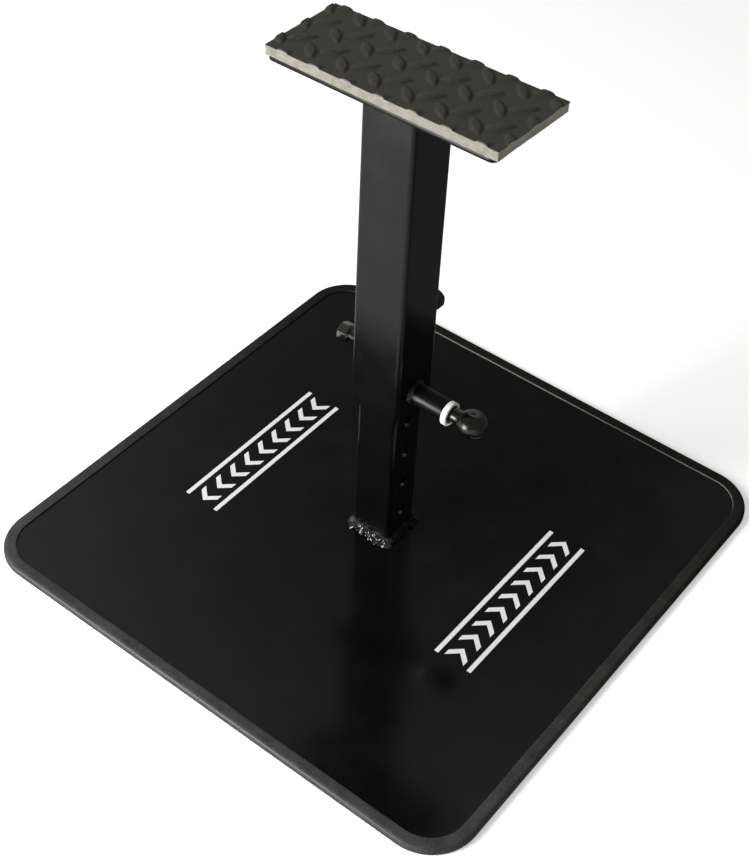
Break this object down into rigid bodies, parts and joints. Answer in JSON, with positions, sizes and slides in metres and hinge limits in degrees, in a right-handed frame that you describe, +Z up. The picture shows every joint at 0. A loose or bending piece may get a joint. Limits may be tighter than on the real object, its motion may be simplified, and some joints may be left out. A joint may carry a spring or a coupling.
{
  "type": "balance stand",
  "caption": "Square base plate with a telescoping square post, locked by a spring pull pin, under a small padded tread platform.",
  "frame": {"origin": "centre of the base's underside, on the floor, on the post's axis", "axes": "+Z up along the post; +X the side of the pull pin and the long direction of the top plate"},
  "size_m": [0.618, 0.618, 0.581],
  "materials": {
    "black_powder_coat": "gloss black powder coat",
    "trim_rubber": "matte black rubber channel",
    "white_vinyl": "die-cut white vinyl",
    "mat_foam": "cut closed-cell foam, light grey beige",
    "mat_skin": "charcoal diamond tread",
    "pin_black": "gloss black",
    "white_nylon": "natural white nylon",
    "plunger_steel": "black oxide steel",
    "spring_steel": "spring wire",
    "knob_black": "polished black phenolic",
    "bolt_black": "black zinc plated steel"
  },
  "bodies": {
    "base": {"base_plate": "black_powder_coat", "edge_trim": "trim_rubber", "mark_left": "white_vinyl", "mark_right": "white_vinyl", "foot_weld": "black_powder_coat", "inner_post": "black_powder_coat"},
    "carriage": {"outer_tube": "black_powder_coat", "top_plate": "black_powder_coat", "top_plate_weld": "black_powder_coat", "tread_foam": "mat_foam", "tread_skin": "mat_skin", "pin_barrel": "pin_black", "pin_barrel_weld": "black_powder_coat", "pin_collar": "white_nylon", "pin_spring": "spring_steel", "left_weld_nut": "bolt_black", "left_nut_weld": "black_powder_coat", "right_weld_nut": "bolt_black", "right_nut_weld": "black_powder_coat"},
    "pull_pin": {"pin_plunger": "plunger_steel", "plunger_clip": "plunger_steel", "pin_knob": "knob_black"},
    "left_bolt": {"left_set_bolt": "bolt_black"},
    "right_bolt": {"right_set_bolt": "bolt_black"}
  },
  "joints": [
    {"name": "height_slide", "type": "slide", "parent": "base", "child": "carriage", "axis": [0, 0, 1], "range_m": [-0.1778, 0.0889]},
    {"name": "pin_pull", "type": "slide", "parent": "carriage", "child": "pull_pin", "axis": [1, 0, 0], "range_m": [0, 0.01], "stiffness_N_per_m": 900, "springref_m": -0.008, "deforming": ["pin_spring"]},
    {"name": "left_bolt_turn", "type": "hinge", "parent": "carriage", "child": "left_bolt", "pos_m": [-0.03, 0, 0.2515], "axis": [-1, 0, 0], "range_deg": [0, 360]},
    {"name": "right_bolt_turn", "type": "hinge", "parent": "carriage", "child": "right_bolt", "pos_m": [0, 0.03, 0.286], "axis": [0, 1, 0], "range_deg": [0, 360]}
  ]
}
